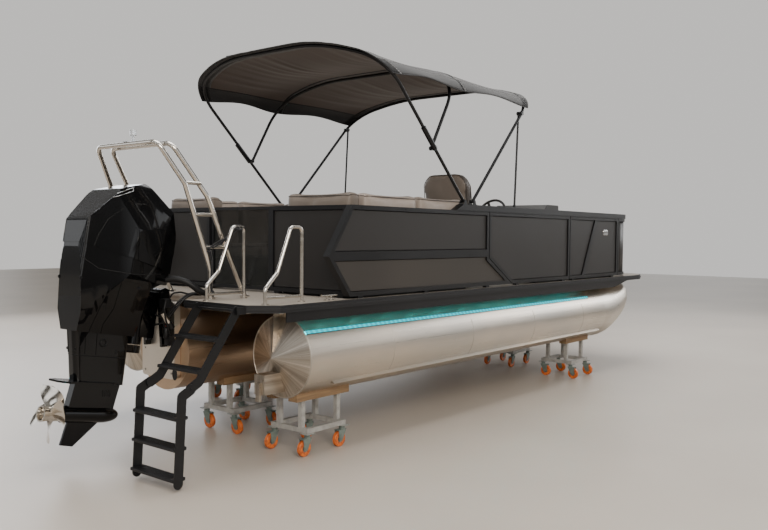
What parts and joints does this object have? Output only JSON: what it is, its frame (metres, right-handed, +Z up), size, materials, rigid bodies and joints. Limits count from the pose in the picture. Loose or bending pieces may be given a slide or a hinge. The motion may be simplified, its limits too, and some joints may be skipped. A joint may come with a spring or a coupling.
{
  "type": "pontoon boat",
  "caption": "Three-tube pontoon boat with fenced deck, folding canvas top, tilting outboard motor, boarding ladder and tow bar, standing on caster dollies.",
  "frame": {"origin": "on the floor under the middle of the overall bounding box", "axes": "+X towards the bow, +Y to port, +Z up; the casters stand on z = 0"},
  "size_m": [8.2232, 2.59, 3.3576],
  "materials": {
    "tube_aluminium": "brushed marine aluminium",
    "frame_black": "satin black powder coat",
    "deck_vinyl": "woven vinyl flooring",
    "rail_rubber": "black bumper rail",
    "led_lens": "lit strip lens",
    "upholstery": "marine vinyl upholstery",
    "dark_glass": "tinted acrylic",
    "console_plastic": "moulded console",
    "cowl_black": "gloss black cowl",
    "motor_black": "black motor paint",
    "engine_metal": "engine casting",
    "stainless": "polished stainless",
    "canvas": "acrylic canvas",
    "galvanised": "grey square tube",
    "timber": "timber bearer",
    "caster_orange": "polyurethane caster"
  },
  "bodies": {
    "hull": {"bow_lounges": "upholstery", "cap_rails": "frame_black", "chair_pedestal": "stainless", "cleats": "stainless", "console": "console_plastic", "crossmembers": "tube_aluminium", "deck": "deck_vinyl", "dolly_frames": "galvanised", "dolly_pads": "timber", "fence_bow": "frame_black", "fence_port_aft": "frame_black", "fence_port_fore": "frame_black", "fence_starboard_aft": "frame_black", "fence_starboard_fore": "frame_black", "fence_stern": "frame_black", "handrails": "stainless", "ladder_bracket": "frame_black", "lamps": "led_lens", "lounge_port": "upholstery", "lounge_starboard": "upholstery", "pontoon_center": "tube_aluminium", "pontoon_port": "tube_aluminium", "pontoon_starboard": "tube_aluminium", "rub_rail": "rail_rubber", "seat_bases": "console_plastic", "side_skirts": "frame_black", "stern_light": "led_lens", "tow_bar": "stainless", "transducer_bracket": "tube_aluminium", "transom_bracket": "motor_black"},
    "steered_motor": {"motor_midsection": "motor_black", "motor_cowl": "cowl_black", "engine_block": "engine_metal", "gearcase": "motor_black"},
    "motor_tilt_body": {"swivel_bracket": "motor_black"},
    "propeller_body": {"propeller": "stainless"},
    "helm_wheel_body": {"helm_wheel": "console_plastic"},
    "chair_body": {"chair_seat": "upholstery"},
    "ladder_upper_body": {"ladder_upper": "frame_black"},
    "ladder_lower_body": {"ladder_lower": "frame_black"},
    "stern_gate_body": {"stern_gate_frame": "frame_black", "stern_gate_pane": "dark_glass"},
    "bow_gate_body": {"bow_gate": "frame_black"},
    "bimini_aft_body": {"bimini_aft_bow": "frame_black", "bimini_canvas": "canvas"},
    "bimini_mid_body": {"bimini_mid_bow": "frame_black"},
    "bimini_fore_body": {"bimini_fore_bow": "frame_black"},
    "bimini_strut_body": {"bimini_struts": "frame_black"},
    "caster_1a": {"caster_wheels_1a": "caster_orange"},
    "caster_1b": {"caster_wheels_1b": "caster_orange"},
    "caster_2a": {"caster_wheels_2a": "caster_orange"},
    "caster_2b": {"caster_wheels_2b": "caster_orange"},
    "caster_3a": {"caster_wheels_3a": "caster_orange"},
    "caster_3b": {"caster_wheels_3b": "caster_orange"},
    "caster_4a": {"caster_wheels_4a": "caster_orange"},
    "caster_4b": {"caster_wheels_4b": "caster_orange"},
    "caster_5a": {"caster_wheels_5a": "caster_orange"},
    "caster_5b": {"caster_wheels_5b": "caster_orange"},
    "caster_6a": {"caster_wheels_6a": "caster_orange"},
    "caster_6b": {"caster_wheels_6b": "caster_orange"}
  },
  "joints": [
    {"name": "motor_tilt", "type": "hinge", "parent": "hull", "child": "motor_tilt_body", "pos_m": [-3.12539, 0, 1.22], "axis": [0, 1, 0], "range_deg": [-10, 52]},
    {"name": "motor_steer", "type": "hinge", "parent": "motor_tilt_body", "child": "steered_motor", "pos_m": [-3.30785, 0, 1.04909], "axis": [0.1736, 0, 0.9848], "range_deg": [-30, 30]},
    {"name": "propeller_spin", "type": "hinge", "parent": "steered_motor", "child": "propeller_body", "pos_m": [-4.02763, 0, 0.3992], "axis": [0.9848, 0, -0.1736], "continuous": true},
    {"name": "helm_turn", "type": "hinge", "parent": "hull", "child": "helm_wheel_body", "pos_m": [0.79661, -0.7, 1.95], "axis": [0.8829, 0, -0.4695], "range_deg": [-540, 540]},
    {"name": "chair_swivel", "type": "hinge", "parent": "hull", "child": "chair_body", "pos_m": [0.11661, -0.7, 1.62], "axis": [0, 0, 1], "continuous": true},
    {"name": "ladder_swing", "type": "hinge", "parent": "hull", "child": "ladder_upper_body", "pos_m": [-3.24839, -0.882, 1.156], "axis": [0, 1, 0], "range_deg": [0, 130]},
    {"name": "ladder_fold", "type": "hinge", "parent": "ladder_upper_body", "child": "ladder_lower_body", "pos_m": [-3.65339, -0.882, 0.66], "axis": [0, 1, 0], "range_deg": [0, 120]},
    {"name": "stern_gate_swing", "type": "hinge", "parent": "hull", "child": "stern_gate_body", "pos_m": [-2.18339, 0.445, 1.49], "axis": [0, 0, 1], "range_deg": [0, 90]},
    {"name": "bow_gate_swing", "type": "hinge", "parent": "hull", "child": "bow_gate_body", "pos_m": [3.50661, 0.315, 1.49], "axis": [0, 0, -1], "range_deg": [0, 90]},
    {"name": "bimini_fold", "type": "hinge", "parent": "hull", "child": "bimini_aft_body", "pos_m": [-0.57339, 0, 2.025], "axis": [0, -1, 0], "range_deg": [0, 30], "deforming": ["bimini_canvas"]},
    {"name": "bimini_fore_fold", "type": "hinge", "parent": "hull", "child": "bimini_fore_body", "pos_m": [-0.41339, 0, 2.025], "axis": [0, -1, 0], "range_deg": [0, 120.47]},
    {"name": "bimini_mid_fold", "type": "hinge", "parent": "bimini_aft_body", "child": "bimini_mid_body", "pos_m": [-1.04939, 0, 2.479], "axis": [0, -1, 0], "range_deg": [0, 76.54]},
    {"name": "bimini_strut_fold", "type": "hinge", "parent": "bimini_fore_body", "child": "bimini_strut_body", "pos_m": [0.51061, 0, 2.9784], "axis": [0, 1, 0], "range_deg": [0, 40.91]},
    {"name": "caster_1a_roll", "type": "hinge", "parent": "hull", "child": "caster_1a", "pos_m": [-2.60939, -0.955, 0.0625], "axis": [0, 1, 0], "continuous": true},
    {"name": "caster_1b_roll", "type": "hinge", "parent": "hull", "child": "caster_1b", "pos_m": [-2.20939, -0.955, 0.0625], "axis": [0, 1, 0], "continuous": true},
    {"name": "caster_2a_roll", "type": "hinge", "parent": "hull", "child": "caster_2a", "pos_m": [-2.27339, -0.216, 0.0625], "axis": [1, 0, 0], "continuous": true},
    {"name": "caster_2b_roll", "type": "hinge", "parent": "hull", "child": "caster_2b", "pos_m": [-2.27339, 0.144, 0.0625], "axis": [1, 0, 0], "continuous": true},
    {"name": "caster_3a_roll", "type": "hinge", "parent": "hull", "child": "caster_3a", "pos_m": [-1.57939, 0.955, 0.0625], "axis": [0, 1, 0], "continuous": true},
    {"name": "caster_3b_roll", "type": "hinge", "parent": "hull", "child": "caster_3b", "pos_m": [-1.17939, 0.955, 0.0625], "axis": [0, 1, 0], "continuous": true},
    {"name": "caster_4a_roll", "type": "hinge", "parent": "hull", "child": "caster_4a", "pos_m": [2.14661, -1.171, 0.0625], "axis": [1, 0, 0], "continuous": true},
    {"name": "caster_4b_roll", "type": "hinge", "parent": "hull", "child": "caster_4b", "pos_m": [2.14661, -0.811, 0.0625], "axis": [1, 0, 0], "continuous": true},
    {"name": "caster_5a_roll", "type": "hinge", "parent": "hull", "child": "caster_5a", "pos_m": [2.20061, 0, 0.0625], "axis": [0, 1, 0], "continuous": true},
    {"name": "caster_5b_roll", "type": "hinge", "parent": "hull", "child": "caster_5b", "pos_m": [2.60061, 0, 0.0625], "axis": [0, 1, 0], "continuous": true},
    {"name": "caster_6a_roll", "type": "hinge", "parent": "hull", "child": "caster_6a", "pos_m": [2.34661, 0.739, 0.0625], "axis": [1, 0, 0], "continuous": true},
    {"name": "caster_6b_roll", "type": "hinge", "parent": "hull", "child": "caster_6b", "pos_m": [2.34661, 1.099, 0.0625], "axis": [1, 0, 0], "continuous": true}
  ],
  "couplings": [
    {"joint": "helm_turn", "follows": "motor_steer", "ratio": 18},
    {"joint": "bimini_fore_fold", "follows": "bimini_fold", "ratio": 4.0153},
    {"joint": "bimini_mid_fold", "follows": "bimini_fold", "ratio": 2.5511},
    {"joint": "bimini_strut_fold", "follows": "bimini_fold", "ratio": 1.3634}
  ]
}
